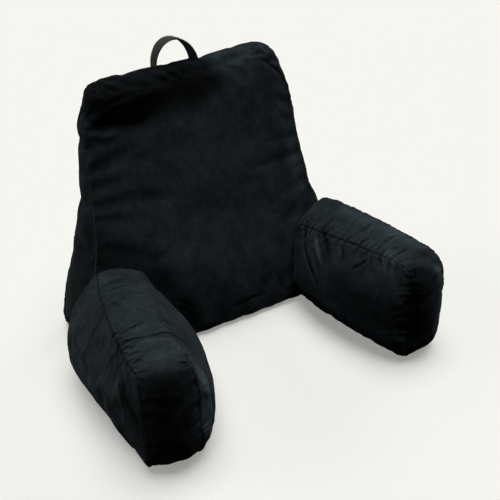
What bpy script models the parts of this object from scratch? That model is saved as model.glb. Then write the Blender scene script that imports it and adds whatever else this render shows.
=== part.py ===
"""Backrest pillow: a wedge-shaped back cushion, two padded arms and a carry handle.

Metres, +Z up. X runs across the back, -Y is where the sitter faces, and the floor is Z = 0.
The origin is on the floor, in the middle of the back cushion's flat underside. Sizes along Y
in the tables are measured from the middle of the back cushion's front bottom edge, which lies
UNDERSIDE_MIDDLE in front of the origin.
"""

import math

import bmesh
import bpy
from mathutils import Vector

UNDERSIDE_MIDDLE = 0.115

# Back cushion: its height, and how far each face is crowned between its seams
BACK_HEIGHT = 0.558
BACK_FRONT_CROWN = 0.032
BACK_REAR_CROWN = 0.028
BACK_TOP_CROWN = 0.013
BACK_SIDE_CROWN = 0.0148
# The top corners are drawn in, as a share of the half width and of the half height, and the
# rear panel's side seams are drawn forwards
BACK_CORNER_PULL_IN = 0.050
BACK_CORNER_PULL_DOWN = 0.036
BACK_REAR_CORNER_PULL = 0.012
BACK_PULL_IN_POWER = 8
BACK_PULL_DOWN_POWER = 5
# The base's rear corners are drawn in too
BACK_BASE_PULL_IN = 0.030
# The top's right rear corner is pulled out further than its left one
BACK_CORNER_SKEW = 0.022
# The filling sits unevenly, so the top rises to its right end
BACK_LEFT_RISE = 0.004
BACK_RIGHT_RISE = 0.027
# The front panel turns over the top in a round, and the top falls to the rear
BACK_TOP_RADIUS = 0.030
BACK_TOP_REAR_DROP = 0.016
# A roll of filling stands forwards under the top. Its lower edge climbs from left to right,
# and above that edge it stands out by ROLL_SLOPE, starting softly over ROLL_START
ROLL_EDGE = {"x0": -0.130, "z0": 0.482, "x1": 0.070, "z1": 0.560}
ROLL_EDGE_POWER = 0.8
ROLL_SLOPE = 0.40
ROLL_START = 0.012
# One row for each height: half width at the front and rear seams, setback of both panels
BACK_ROWS = (
    {"height": 0.000, "front_half": 0.301, "rear_half": 0.336, "front_y": 0.002, "rear_y": 0.225},
    {"height": 0.100, "front_half": 0.300, "rear_half": 0.308, "front_y": 0.029, "rear_y": 0.227},
    {"height": 0.190, "front_half": 0.287, "rear_half": 0.275, "front_y": 0.053, "rear_y": 0.227},
    {"height": 0.245, "front_half": 0.268, "rear_half": 0.257, "front_y": 0.068, "rear_y": 0.227},
    {"height": 0.335, "front_half": 0.254, "rear_half": 0.231, "front_y": 0.093, "rear_y": 0.226},
    {"height": 0.445, "front_half": 0.242, "rear_half": 0.216, "front_y": 0.121, "rear_y": 0.222},
    {"height": 0.510, "front_half": 0.238, "rear_half": 0.211, "front_y": 0.137, "rear_y": 0.219},
    {"height": 0.558, "front_half": 0.225, "rear_half": 0.202, "front_y": 0.149, "rear_y": 0.222},
)
# Folds in the front panel, each from one point (x, z) to another: a trough where rise is
# negative, a ridge where it is positive
FRONT_FOLDS = (
    {
        "name": "shoulder_crease", "x0": -0.250, "z0": 0.500, "x1": -0.115, "z1": 0.482,
        "half_width": 0.026, "rise": -0.007,
    },
    {
        "name": "right_corner", "x0": 0.200, "z0": 0.565, "x1": 0.150, "z1": 0.535,
        "half_width": 0.024, "rise": -0.006,
    },
    {
        "name": "lap_crease", "x0": 0.090, "z0": 0.055, "x1": 0.190, "z1": 0.080,
        "half_width": 0.026, "rise": -0.005,
    },
)
# The shoulder crease runs round into the left side as a notch
NOTCH = {"height": 0.506, "half_width": 0.022, "depth": 0.004}

# Arms: the strip that runs over the top, down the front and under each arm is this wide
STRIP_WIDTH = 0.095
ARM_REAR_Y = 0.046
# Each arm bows outwards between its ends, and its rear end is drawn in where it is sewn on,
# its inner belly more than its outer one
ARM_BOW = 0.011
ARM_REAR_PINCH = 0.12
ARM_REAR_DRAW = 0.45
ARM_OUTER_BELLY = 0.054
# The bellies are fuller below their middle than above it, by this share
ARM_BELLY_DROP = 0.35
ARM_FRONT_CROWN = 0.022
# The front corners are drawn in, as shares of the arm's length and height
ARM_CORNER_PULL_BACK = 0.115
ARM_CORNER_PULL_DOWN = 0.030
ARM_CORNER_POWER = 6
# Puckers along the two long seams of the strip
PUCKERS = 8
PUCKER_DEPTH = 0.0025
PUCKER_UNEVEN = 0.35
# The inner belly falls off to both ends by these powers
ARM_INNER_REAR_FADE = 0.30
ARM_INNER_FRONT_FADE = 0.50
# One row for each arm. The tilts raise the strip's outer seam and lower its inner one, a lean
# moves a belly's fullest part towards the rear, and the base of the front end is shifted
# outwards. The outer belly falls off to both ends by its own powers
ARM_ROWS = (
    {
        "name": "arm_left", "side": -1, "rear_x": 0.232, "splay": 9.2, "length": 0.374,
        "rear_height": 0.210, "front_height": 0.231, "rear_tilt": 0.009, "front_tilt": 0.005,
        "top_crown": 0.011, "base_pull_back": 0.115, "base_shift": 0.000,
        "inner_belly": 0.075, "inner_lean": 0.20,
        "outer_lean": 0.78, "outer_rear_fade": 0.12, "outer_front_fade": 0.24,
    },
    {
        "name": "arm_right", "side": 1, "rear_x": 0.245, "splay": 6.7, "length": 0.360,
        "rear_height": 0.210, "front_height": 0.237, "rear_tilt": 0.022, "front_tilt": -0.003,
        "top_crown": 0.009, "base_pull_back": 0.030, "base_shift": 0.006,
        "inner_belly": 0.064, "inner_lean": 0.04,
        "outer_lean": 0.74, "outer_rear_fade": 0.30, "outer_front_fade": 0.50,
    },
)

# The underside: seams stand this far off the floor, and the filling sags past them
BACK_SEAM_LIFT = 0.010
ARM_SEAM_LIFT = 0.009
UNDERSIDE_SAG = 0.034

# Carry handle: a strap on edge to the front, in an arch
STRAP_WIDTH = 0.030
STRAP_THICKNESS = 0.003
HANDLE_SPAN = 0.097
HANDLE_RISE = 0.0625
HANDLE_X = -0.007
HANDLE_Y = 0.190
HANDLE_STEPS = 36
# The strap's left foot is turned by the first, and from there to its right foot it turns by
# the second
HANDLE_START_TURN = math.radians(-6)
HANDLE_TWIST = math.radians(26)
# The crown of the arch leans this far to the left
HANDLE_LEAN = 0.004
# The arch runs this far past a half turn at each foot, to reach into the cushion's top
HANDLE_OVERRUN = math.radians(20)

# Pieces that touch keep this gap
GAP = 0.0003

# Rows of faces along each axis of a cushion: across, front to back, upwards
BACK_CELLS = (30, 8, 30)
ARM_CELLS = (8, 30, 12)
# How much closer the rows stand near the seams
CROWDING = 0.30

VELVET = {"color": (0.010, 0.013, 0.015, 1.0), "roughness": 0.85}


def clear_scene():
    """Empty the file that the script runs in."""
    for old in list(bpy.data.objects):
        bpy.data.objects.remove(old, do_unlink=True)


def fabric(name):
    """A dark velvet material."""
    material = bpy.data.materials.new(name)
    material.use_nodes = True
    shader = material.node_tree.nodes["Principled BSDF"]
    shader.inputs["Base Color"].default_value = VELVET["color"]
    shader.inputs["Roughness"].default_value = VELVET["roughness"]
    shader.inputs["Metallic"].default_value = 0.0
    material.diffuse_color = VELVET["color"]
    return material


def crowd(t):
    """Move rows of points from the middle towards both ends of -1 to 1."""
    return t * (1 + CROWDING) - CROWDING * t**3


def fade(t, power):
    """1 in the middle of a panel and 0 at both of its seams."""
    return max(0.0, 1 - t * t) ** power


def between(rows, key, column, at):
    """Read a table's column at any value of its key column, along a smooth curve."""
    last = len(rows) - 1
    i = 0
    while i < last - 1 and at > rows[i + 1][key]:
        i += 1
    span = rows[i + 1][key] - rows[i][key]
    t = (at - rows[i][key]) / span

    def slope(k):
        low, high = max(k - 1, 0), min(k + 1, last)
        return (rows[high][column] - rows[low][column]) / (rows[high][key] - rows[low][key])

    a, b = rows[i][column], rows[i + 1][column]
    rise = (b - a) * t * t * (3 - 2 * t)
    bend = t * (1 - t) ** 2 * slope(i) * span + t * t * (t - 1) * slope(i + 1) * span
    return a + rise + bend


def cushion_mesh(name, cells, place):
    """A closed box of triangles with each point moved to its place on the cushion."""
    bm = bmesh.new()
    bmesh.ops.create_cube(bm, size=2)
    for axis, count in enumerate(cells):
        along = [
            e for e in bm.edges
            if abs(e.verts[0].co[axis] - e.verts[1].co[axis]) > 1
        ]
        bmesh.ops.subdivide_edges(bm, edges=along, cuts=count - 1, use_grid_fill=True)
    for vertex in bm.verts:
        u, v, w = (crowd(c) for c in vertex.co)
        vertex.co = place(u, v, w) - Vector((0, UNDERSIDE_MIDDLE, 0))
    bmesh.ops.triangulate(bm, faces=bm.faces)
    mesh = bpy.data.meshes.new(name)
    bm.to_mesh(mesh)
    bm.free()
    mesh.shade_smooth()
    return mesh


def add_object(name, mesh, material):
    """Link a mesh to the scene as a named object."""
    item = bpy.data.objects.new(name, mesh)
    bpy.context.scene.collection.objects.link(item)
    mesh.materials.append(material)
    return item


def on_floor(u, v, w, z, seam_lift):
    """Lift the bottom seams, let the filling sag between them, and rest it flat on the floor."""
    low = (1 - w) / 2
    lifted = z + seam_lift * low**3
    sagged = lifted - UNDERSIDE_SAG * fade(u, 1) * fade(v, 1) * low**6
    return max(0.0, sagged)


def bump(distance, half_width):
    """1 on a fold's line, falling smoothly to 0 at its edge."""
    t = min(1.0, distance / half_width)
    return (1 - t * t) ** 2


def front_folds(x, z):
    """How far the front panel's folds push it forwards at a point."""
    total = 0.0
    for fold in FRONT_FOLDS:
        start = Vector((fold["x0"], fold["z0"]))
        along = Vector((fold["x1"], fold["z1"])) - start
        here = Vector((x, z)) - start
        t = min(1.0, max(0.0, here.dot(along) / along.length_squared))
        total += fold["rise"] * bump((here - along * t).length, fold["half_width"])
    return total


def shoulder(x, z):
    """How far the roll of filling under the top pushes the front panel forwards at a point."""
    t = min(1.0, max(0.0, (x - ROLL_EDGE["x0"]) / (ROLL_EDGE["x1"] - ROLL_EDGE["x0"])))
    climb = (t * t * (3 - 2 * t)) ** ROLL_EDGE_POWER
    edge = ROLL_EDGE["z0"] + (ROLL_EDGE["z1"] - ROLL_EDGE["z0"]) * climb
    above = max(0.0, z - edge)
    return ROLL_SLOPE * above * above / (above + ROLL_START)


def round_over(down, behind):
    """How far a point near the top's front edge moves back and up, to make that edge a round."""
    low = min(1.0, max(0.0, 1 - down / BACK_TOP_RADIUS))
    deep = min(1.0, max(0.0, 1 - behind / BACK_TOP_RADIUS))
    low_turn, deep_turn = low * math.pi / 4, deep * math.pi / 4
    corner = (1 - math.cos(math.pi / 4)) * low * deep
    back = (1 - math.cos(low_turn)) * deep + (deep - math.sin(deep_turn)) * low - corner
    up = (math.sin(low_turn) - low) * deep - (1 - math.cos(deep_turn)) * low + corner
    return BACK_TOP_RADIUS * back, BACK_TOP_RADIUS * up


def back_point(u, v, w):
    """The back cushion: u runs from left to right, v from front to rear, w from floor to top."""
    high = max(0.0, w)
    pull_in = BACK_CORNER_PULL_IN * high**BACK_PULL_IN_POWER
    pull_down = BACK_CORNER_PULL_DOWN * abs(u) ** BACK_PULL_DOWN_POWER
    up = w * (1 - pull_down) if w > 0 else w
    height = BACK_HEIGHT * (up + 1) / 2
    deep = (v + 1) / 2
    front_half = between(BACK_ROWS, "height", "front_half", height)
    rear_half = between(BACK_ROWS, "height", "rear_half", height)
    half = front_half + (rear_half - front_half) * deep
    half += BACK_SIDE_CROWN * fade(v, 0.8) * fade(w, 0.4) * abs(u) ** 3
    if u < 0:
        notch = NOTCH["depth"] * bump(abs(height - NOTCH["height"]), NOTCH["half_width"])
        half -= notch * u * u
    base_pull_in = BACK_BASE_PULL_IN * max(0.0, -w) ** BACK_PULL_IN_POWER * deep
    x = u * (1 - pull_in - base_pull_in) * half + BACK_CORNER_SKEW * deep * high**4 * max(0.0, u)
    front_y = between(BACK_ROWS, "height", "front_y", height)
    rear_y = between(BACK_ROWS, "height", "rear_y", height)
    crown = fade(u, 0.8) * fade(w, 0.7)
    folds = front_folds(x, height) * fade(u, 0.25) * fade(w, 0.25)
    folds += shoulder(x, height) * fade(u, 0.18)
    front = front_y - BACK_FRONT_CROWN * crown - folds
    rear = rear_y + BACK_REAR_CROWN * crown - BACK_REAR_CORNER_PULL * abs(u) ** BACK_PULL_IN_POWER
    y = front + (rear - front) * deep
    corner_rise = BACK_LEFT_RISE if u < 0 else BACK_RIGHT_RISE
    z = height + BACK_TOP_CROWN * fade(u, 0.35) * fade(v, 0.7) * high**3
    z += corner_rise * u * u * high**4
    z -= BACK_TOP_REAR_DROP * deep**3 * high**6 * fade(u, 0.5)
    back, rise = round_over(BACK_HEIGHT - height, y - front)
    y, z = y + back, z + rise
    return Vector((x, y, on_floor(u, v, w, z, BACK_SEAM_LIFT)))


def pucker(u, v, w):
    """How far the strip's long seams are drawn in between their puckers, 0 to 1."""
    wave = math.sin(math.pi * (PUCKERS * (v + 1) / 2 + PUCKER_UNEVEN * math.sin(5 * v))) ** 2
    near_seam = abs(u) ** 4 * abs(w) ** 4
    return wave * near_seam * fade(v, 0.5)


def arm_point(row):
    """The place of a point on one arm: u runs outwards, v from rear to front, w upwards."""
    splay = math.radians(row["splay"])
    along = Vector((math.sin(splay), -math.cos(splay)))
    outward = Vector((math.cos(splay), math.sin(splay)))
    rear = Vector((row["rear_x"], ARM_REAR_Y))

    def place(u, v, w):
        front, back = max(0.0, v), max(0.0, -v)
        corner = ARM_CORNER_PULL_BACK if w > 0 else row["base_pull_back"]
        pull_back = corner * abs(w) ** ARM_CORNER_POWER if v > 0 else 0.0
        t = (v * (1 - pull_back) + 1) / 2
        up = (w * (1 - ARM_CORNER_PULL_DOWN * front**ARM_CORNER_POWER) + 1) / 2
        if u > 0:
            belly, lean, draw = ARM_OUTER_BELLY, row["outer_lean"], 0.0
            rear_fade, front_fade = row["outer_rear_fade"], row["outer_front_fade"]
        else:
            belly, lean, draw = row["inner_belly"], row["inner_lean"], ARM_REAR_DRAW * back**2
            rear_fade, front_fade = ARM_INNER_REAR_FADE, ARM_INNER_FRONT_FADE
        swell = belly * fade(w, 0.65) * (1 - ARM_BELLY_DROP * w)
        swell *= fade(front, front_fade) * fade(back, rear_fade) * (1 - draw) * (1 - lean * v)
        half = STRIP_WIDTH / 2 * (1 - ARM_REAR_PINCH * back**4) - PUCKER_DEPTH * pucker(u, v, w)
        sideways = u * half + u * abs(u) * swell
        sideways += ARM_BOW * 4 * t * (1 - t) + row["base_shift"] * t * (1 - up)
        ahead = row["length"] * t + ARM_FRONT_CROWN * fade(u, 0.7) * fade(w, 0.7) * front**4
        height = row["rear_height"] + (row["front_height"] - row["rear_height"]) * t
        height += (row["rear_tilt"] + (row["front_tilt"] - row["rear_tilt"]) * t) * u
        z = height * up + row["top_crown"] * fade(u, 0.7) * fade(front, 0.6) * up**4
        if w > 0:
            z -= PUCKER_DEPTH * pucker(u, v, w)
        spot = rear + along * ahead + outward * sideways
        return Vector((row["side"] * spot.x, spot.y, on_floor(u, v, w, z, ARM_SEAM_LIFT)))

    return place


def keep_clear(item, cutter):
    """Cut an object back where it would run into its neighbour."""
    cut = item.modifiers.new("clear_of_" + cutter.name, "BOOLEAN")
    cut.operation = "DIFFERENCE"
    cut.object = cutter
    cut.solver = "EXACT"


def cutter_of(item):
    """A hidden copy of a cushion, a gap larger all round, that its neighbours are cut with."""
    cutter = bpy.data.objects.new(item.name + "_cutter", item.data.copy())
    bpy.context.scene.collection.objects.link(cutter)
    grow = cutter.modifiers.new("grow", "DISPLACE")
    grow.strength = GAP
    grow.mid_level = 0.0
    cutter.hide_render = True
    cutter.display_type = "WIRE"
    return cutter


def build_back(material):
    """The wedge-shaped back cushion."""
    mesh = cushion_mesh("back_cushion", BACK_CELLS, back_point)
    return add_object("back_cushion", mesh, material)


def build_arm(row, material, back_cutter):
    """One padded arm, sewn to the front of the back cushion."""
    mesh = cushion_mesh(row["name"], ARM_CELLS, arm_point(row))
    if row["side"] > 0:
        mesh.flip_normals()
    arm = add_object(row["name"], mesh, material)
    keep_clear(arm, back_cutter)
    return arm


def build_handle(material, back_cutter):
    """A flat strap in an arch, its feet sewn to the top of the back cushion."""
    bm = bmesh.new()
    rings = []
    reach = math.pi + 2 * HANDLE_OVERRUN
    for step in range(HANDLE_STEPS + 1):
        angle = math.pi + HANDLE_OVERRUN - reach * step / HANDLE_STEPS
        lean = Vector((math.cos(angle), 0.0, math.sin(angle)))
        middle = Vector((
            HANDLE_X + HANDLE_SPAN / 2 * lean.x - HANDLE_LEAN * max(0.0, lean.z),
            HANDLE_Y - UNDERSIDE_MIDDLE,
            BACK_HEIGHT + HANDLE_RISE * lean.z,
        ))
        outward = Vector((lean.x / HANDLE_SPAN * 2, 0.0, lean.z / HANDLE_RISE)).normalized()
        turn = HANDLE_START_TURN + HANDLE_TWIST * step / HANDLE_STEPS
        across = Vector((-math.sin(turn), math.cos(turn), 0.0))
        ring = [
            bm.verts.new(middle + outward * a * STRAP_THICKNESS / 2 + across * b * STRAP_WIDTH / 2)
            for a, b in ((-1, -1), (1, -1), (1, 0), (1, 1), (-1, 1), (-1, 0))
        ]
        rings.append(ring)
    for lower, upper in zip(rings, rings[1:]):
        for i in range(len(lower)):
            j = (i + 1) % len(lower)
            bm.faces.new((lower[i], lower[j], upper[j], upper[i]))
    bm.faces.new(rings[0][::-1])
    bm.faces.new(rings[-1])
    bmesh.ops.recalc_face_normals(bm, faces=bm.faces)
    mesh = bpy.data.meshes.new("carry_handle")
    bm.to_mesh(mesh)
    bm.free()
    handle = add_object("carry_handle", mesh, material)
    keep_clear(handle, back_cutter)
    return handle


def main():
    """Build every piece of the pillow."""
    clear_scene()
    material = fabric("black_velvet")
    back = build_back(material)
    cutter = cutter_of(back)
    for row in ARM_ROWS:
        build_arm(row, material, cutter)
    build_handle(material, cutter)


main()
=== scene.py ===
"""Looks of the backrest pillow: velvet cushions with seams, puckers and creases, and a strap handle.

Metres, +Z up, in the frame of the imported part. Each cushion is a lattice of points (u, v, w) from
-1 to 1 that is laid out as the part's own solid is, blown up as cloth for its wrinkles, and then
creased, gathered and drawn in along its seams. Folds and patches that the photograph shows are
noted as points of it, (x, y) in its 500 pixels, and the script finds where they lie.
"""

import logging
import math
from dataclasses import dataclass
from enum import Enum

import bmesh
import bpy
import numpy as np
from mathutils import Matrix, Vector, noise
from mathutils.bvhtree import BVHTree


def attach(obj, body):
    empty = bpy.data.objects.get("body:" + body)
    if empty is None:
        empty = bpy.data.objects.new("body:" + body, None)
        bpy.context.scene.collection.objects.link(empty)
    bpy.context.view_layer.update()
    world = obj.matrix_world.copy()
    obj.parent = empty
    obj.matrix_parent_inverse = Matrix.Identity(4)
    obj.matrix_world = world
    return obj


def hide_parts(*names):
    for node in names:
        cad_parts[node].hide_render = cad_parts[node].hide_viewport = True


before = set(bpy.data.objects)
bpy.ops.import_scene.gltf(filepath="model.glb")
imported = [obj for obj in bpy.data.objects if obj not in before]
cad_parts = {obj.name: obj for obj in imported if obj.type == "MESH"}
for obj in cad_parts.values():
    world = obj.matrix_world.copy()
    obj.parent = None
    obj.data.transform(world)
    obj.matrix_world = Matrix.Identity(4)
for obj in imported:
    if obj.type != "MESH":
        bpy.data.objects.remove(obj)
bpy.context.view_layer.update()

Array = np.ndarray
LOG = logging.getLogger("backrest_pillow")

UNDERSIDE_MIDDLE = 0.115
PIECE_GAP = 0.0006
REAR_END_REACH = 0.09
ON_FACE = 0.9999


class Side(Enum):
    """Which side of the pillow an arm is on, seen from the front of the room."""

    LEFT = -1
    RIGHT = 1


# Helpers


def fade(t: Array, power: Array | float) -> Array:
    """1 in the middle of a panel and 0 at both of its seams."""
    return np.clip(1 - t * t, 0, None) ** power


def fall(distance: Array, reach: Array | float) -> Array:
    """1 at no distance, falling smoothly to 0 at the reach."""
    t = np.clip(distance / reach, 0, 1)
    return (1 - t * t) ** 2


def crowd(t: float, share: float) -> float:
    """Move rows of points from the middle towards both ends of -1 to 1."""
    return t * (1 + share) - share * t**3


def ease(t: Array) -> Array:
    """Rise smoothly from 0 at 0 to 1 at 1."""
    t = np.clip(t, 0, 1)
    return t * t * (3 - 2 * t)


def curve_through(rows: Array, values: Array, at: Array) -> Array:
    """Read a column of a table at any value of its key column, along a smooth curve.

    Args:
        rows: The key column, rising.
        values: The column to read.
        at: Where to read it.

    Returns:
        The column's value at each place.
    """
    slopes = np.gradient(values, rows)
    inner = (values[2:] - values[:-2]) / (rows[2:] - rows[:-2])
    slopes[1:-1] = inner
    i = np.clip(np.searchsorted(rows, at) - 1, 0, len(rows) - 2)
    span = rows[i + 1] - rows[i]
    t = (at - rows[i]) / span
    rise = (values[i + 1] - values[i]) * t * t * (3 - 2 * t)
    bend = t * (1 - t) ** 2 * slopes[i] * span + t * t * (t - 1) * slopes[i + 1] * span
    return values[i] + rise + bend


def cloud(points: Array, size: float, seed: float) -> Array:
    """Smooth noise between about -1 and 1 at each point.

    Args:
        points: The points, in metres.
        size: How far apart its swells are, in metres.
        seed: Shifts the noise.

    Returns:
        The noise at each point.
    """
    shift = Vector((seed, -seed, 2 * seed))
    return np.array([noise.noise(Vector(p) / size + shift) for p in points])


def points_of(mesh: bpy.types.Mesh) -> Array:
    """A mesh's points as rows of three numbers."""
    flat = np.empty(len(mesh.vertices) * 3)
    mesh.vertices.foreach_get("co", flat)
    return flat.reshape(-1, 3)


def normals_of(mesh: bpy.types.Mesh) -> Array:
    """A mesh's normals at its points as rows of three numbers."""
    flat = np.empty(len(mesh.vertices) * 3)
    mesh.vertices.foreach_get("normal", flat)
    return flat.reshape(-1, 3)


def move_points(mesh: bpy.types.Mesh, points: Array) -> None:
    """Put a mesh's points at new places."""
    mesh.vertices.foreach_set("co", points.ravel())
    mesh.update()


def add_number(mesh: bpy.types.Mesh, name: str, values: Array) -> None:
    """Keep one number a point on a mesh, for its material to read."""
    layer = mesh.attributes.new(name, "FLOAT", "POINT")
    layer.data.foreach_set("value", values.astype(np.float32))


def lie_of(mesh: bpy.types.Mesh) -> Array:
    """Where each point lies on its cushion, as (u, v, w)."""
    flat = np.empty(len(mesh.vertices) * 3, np.float32)
    mesh.attributes["lie"].data.foreach_get("vector", flat)
    return flat.reshape(-1, 3).astype(float)


def link(item: bpy.types.Object) -> bpy.types.Object:
    """Put an object in the scene."""
    bpy.context.scene.collection.objects.link(item)
    return item


def noise_texture(
    tree: bpy.types.NodeTree,
    scale: float,
    detail: float = 2.0,
    roughness: float = 0.5,
    distortion: float = 0.0,
) -> bpy.types.NodeSocket:
    """Add noise on Object coordinates to a material.

    Args:
        tree: The material's nodes.
        scale: How fine the noise is.
        detail: How many finer layers it has.
        roughness: How strong those layers are.
        distortion: How far it is pulled about.

    Returns:
        The noise, 0 to 1.
    """
    where = tree.nodes.new("ShaderNodeTexCoord")
    made = tree.nodes.new("ShaderNodeTexNoise")
    made.inputs["Scale"].default_value = scale
    made.inputs["Detail"].default_value = detail
    made.inputs["Roughness"].default_value = roughness
    made.inputs["Distortion"].default_value = distortion
    tree.links.new(where.outputs["Object"], made.inputs["Vector"])
    return made.outputs["Fac"]


def add_share(
    tree: bpy.types.NodeTree, finer: bpy.types.NodeSocket, share: float, base: bpy.types.NodeSocket
) -> bpy.types.NodeSocket:
    """Add a share of a finer noise to a coarser one."""
    both = tree.nodes.new("ShaderNodeMath")
    both.operation = "MULTIPLY_ADD"
    both.inputs[1].default_value = share
    tree.links.new(finer, both.inputs[0])
    tree.links.new(base, both.inputs[2])
    return both.outputs["Value"]


# The photograph's view


@dataclass(frozen=True)
class Viewpoint:
    """Where the photograph was taken from. Its pixels count from the top left corner."""

    focal_pixels: float = 703.5
    frame_pixels: float = 500.0
    azimuth: float = math.radians(-29.85)
    elevation: float = math.radians(31.50)
    roll: float = math.radians(1.60)
    distance: float = 1.4193
    target_right: float = -0.0027
    target_y: float = -0.215
    target_z: float = 0.2552

    def stand(self) -> tuple[Vector, Vector, Vector, Vector]:
        """Work out where the camera stands and how it is turned.

        Returns:
            Its place, then its own right, up and backward directions.
        """
        az, el = self.azimuth, self.elevation
        back = Vector((math.sin(az) * math.cos(el), -math.cos(az) * math.cos(el), math.sin(el)))
        right = Vector((math.cos(az), math.sin(az), 0))
        up = back.cross(right)
        spot = Vector((0, self.target_y, self.target_z)) + right * self.target_right + back * self.distance
        c, s = math.cos(self.roll), math.sin(self.roll)
        return spot, right * c - up * s, right * s + up * c, back

    def places(self, tree: BVHTree, path: tuple[tuple[float, ...], ...]) -> Array:
        """Find where a path lies on a cushion.

        Args:
            tree: The cushion's surface.
            path: Points (x, y) of the photograph, or places (x, y, z) in the part's frame.

        Returns:
            The path's places, one a row, without the points that miss the cushion.
        """
        spot, right, up, back = self.stand()
        middle = self.frame_pixels / 2
        found = []
        for stop in path:
            if len(stop) == 3:
                found.append(Vector(stop))
                continue
            ray = right * (stop[0] - middle) - up * (stop[1] - middle) - back * self.focal_pixels
            place = tree.ray_cast(spot, ray.normalized())[0]
            if place is not None:
                found.append(place)
        return np.array(found)


VIEW = Viewpoint()


# Finishes


@dataclass(frozen=True)
class VelvetFinish:
    """Short-pile velvet, near black, with crushed patches and a cool sheen, its colour multiplied by the
    cushions' painted shade and highlights, and a painted highlight along some seams.
    """

    name: str = "black_velvet"
    deep: tuple[float, float, float] = (0.0060, 0.0105, 0.0125)
    raised: tuple[float, float, float] = (0.0350, 0.0465, 0.0515)
    seam_dark: tuple[float, float, float] = (0.0020, 0.0030, 0.0034)
    # The colour of the painted highlight along seams whose ridge catches light.
    seam_highlight: tuple[float, float, float] = (0.085, 0.090, 0.090)
    sheen: float = 0.06
    sheen_roughness: float = 0.35
    sheen_tint: tuple[float, float, float] = (0.86, 0.96, 1.0)
    pile_depth: float = 0.0005
    pile_strength: float = 0.55
    patch_scale: float = 9.0
    crush_scale: float = 62.0
    pile_scale: float = 900.0
    crush_share: float = 0.55
    pile_share: float = 0.35
    noise_range: tuple[float, float] = (0.55, 1.30)
    roughness: float = 0.92
    gloss: float = 0.08

    def material(self) -> bpy.types.Material:
        """Build the material.

        Returns:
            The velvet, with its patches and pile on Object coordinates, and the cushions' painted shade and
            highlights.
        """
        made = bpy.data.materials.new(self.name)
        made.use_nodes = True
        nodes, links = made.node_tree.nodes, made.node_tree.links
        shader = nodes["Principled BSDF"]
        tree = made.node_tree
        patches = noise_texture(tree, self.patch_scale, 5.0, 0.62, 0.5)
        crush = noise_texture(tree, self.crush_scale, 4.0, 0.7, 1.2)
        pile = noise_texture(tree, self.pile_scale, 3.0)
        both = add_share(tree, crush, self.crush_share, patches)
        fibres = add_share(tree, pile, self.pile_share, both)

        shade = nodes.new("ShaderNodeValToRGB")
        shade.color_ramp.elements[0].color = (*self.deep, 1)
        shade.color_ramp.elements[1].color = (*self.raised, 1)
        spread = nodes.new("ShaderNodeMapRange")
        spread.inputs["From Min"].default_value = self.noise_range[0]
        spread.inputs["From Max"].default_value = self.noise_range[1]
        links.new(fibres, spread.inputs["Value"])
        links.new(spread.outputs["Result"], shade.inputs["Fac"])

        # Painted shade and highlights from the cushions, with their random tone, multiply the colour.
        painted_shade_and_tone = nodes.new("ShaderNodeAttribute")
        painted_shade_and_tone.attribute_name = "painted_shade_and_tone"
        with_painted_shade = nodes.new("ShaderNodeMix")
        with_painted_shade.data_type = "RGBA"
        with_painted_shade.blend_type = "MULTIPLY"
        with_painted_shade.inputs["Factor"].default_value = 1.0
        links.new(shade.outputs["Color"], with_painted_shade.inputs["A"])
        links.new(painted_shade_and_tone.outputs["Color"], with_painted_shade.inputs["B"])
        colour = with_painted_shade.outputs["Result"]
        # A dark line along the seams, and a painted highlight along those whose ridge catches light.
        for attribute, paint in (("seam_dark", self.seam_dark), ("seam_highlight", self.seam_highlight)):
            at_seam = nodes.new("ShaderNodeAttribute")
            at_seam.attribute_name = attribute
            seamed = nodes.new("ShaderNodeMix")
            seamed.data_type = "RGBA"
            links.new(at_seam.outputs["Fac"], seamed.inputs["Factor"])
            links.new(colour, seamed.inputs["A"])
            seamed.inputs["B"].default_value = (*paint, 1)
            colour = seamed.outputs["Result"]
        links.new(colour, shader.inputs["Base Color"])

        raised = nodes.new("ShaderNodeBump")
        raised.inputs["Strength"].default_value = self.pile_strength
        raised.inputs["Distance"].default_value = self.pile_depth
        links.new(fibres, raised.inputs["Height"])
        links.new(raised.outputs["Normal"], shader.inputs["Normal"])

        shader.inputs["Roughness"].default_value = self.roughness
        shader.inputs["Specular IOR Level"].default_value = self.gloss
        shader.inputs["Sheen Weight"].default_value = self.sheen
        shader.inputs["Sheen Roughness"].default_value = self.sheen_roughness
        shader.inputs["Sheen Tint"].default_value = (*self.sheen_tint, 1)
        return made


@dataclass(frozen=True)
class ThreadFinish:
    """Matt sewing thread, a little lighter than the cloth."""

    name: str = "sewing_thread"
    colour: tuple[float, float, float] = (0.016, 0.018, 0.019)
    twist_scale: float = 1400.0

    def material(self) -> bpy.types.Material:
        """Build the material.

        Returns:
            The thread, with its twist as a fine wave.
        """
        made = bpy.data.materials.new(self.name)
        made.use_nodes = True
        nodes, links = made.node_tree.nodes, made.node_tree.links
        shader = nodes["Principled BSDF"]
        twist = noise_texture(made.node_tree, self.twist_scale)
        shade = nodes.new("ShaderNodeMix")
        shade.data_type = "RGBA"
        shade.inputs["A"].default_value = (*(0.6 * c for c in self.colour), 1)
        shade.inputs["B"].default_value = (*(1.5 * c for c in self.colour), 1)
        links.new(twist, shade.inputs["Factor"])
        links.new(shade.outputs["Result"], shader.inputs["Base Color"])
        shader.inputs["Roughness"].default_value = 0.7
        shader.inputs["Specular IOR Level"].default_value = 0.25
        return made


# Cushions


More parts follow.
